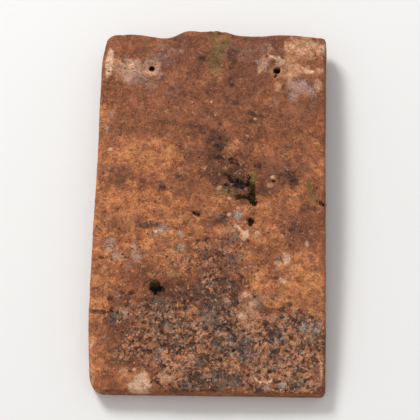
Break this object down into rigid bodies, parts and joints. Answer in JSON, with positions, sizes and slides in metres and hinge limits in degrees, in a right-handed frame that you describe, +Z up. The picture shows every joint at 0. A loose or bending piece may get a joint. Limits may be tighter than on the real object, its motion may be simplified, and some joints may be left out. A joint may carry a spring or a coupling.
{
  "type": "clay roof tile",
  "caption": "Handmade plain clay roof tile with nibs under the head, nail holes, a camber both ways and a wavy head edge, for lapped roofs hung on battens.",
  "frame": {"origin": "bottom centre of the bounding box, on the floor that the tile lies on", "axes": "+Z up with the weathered face up, +Y along the tile towards its head (the end with the nibs and nail holes), +X to the right seen from the tail"},
  "size_m": [0.167, 0.2706, 0.0267],
  "materials": {
    "fired_clay": "matt, sanded and weathered",
    "moss": "matt, soft"
  },
  "bodies": {
    "root": {"roof_tile": "fired_clay"}
  },
  "joints": []
}
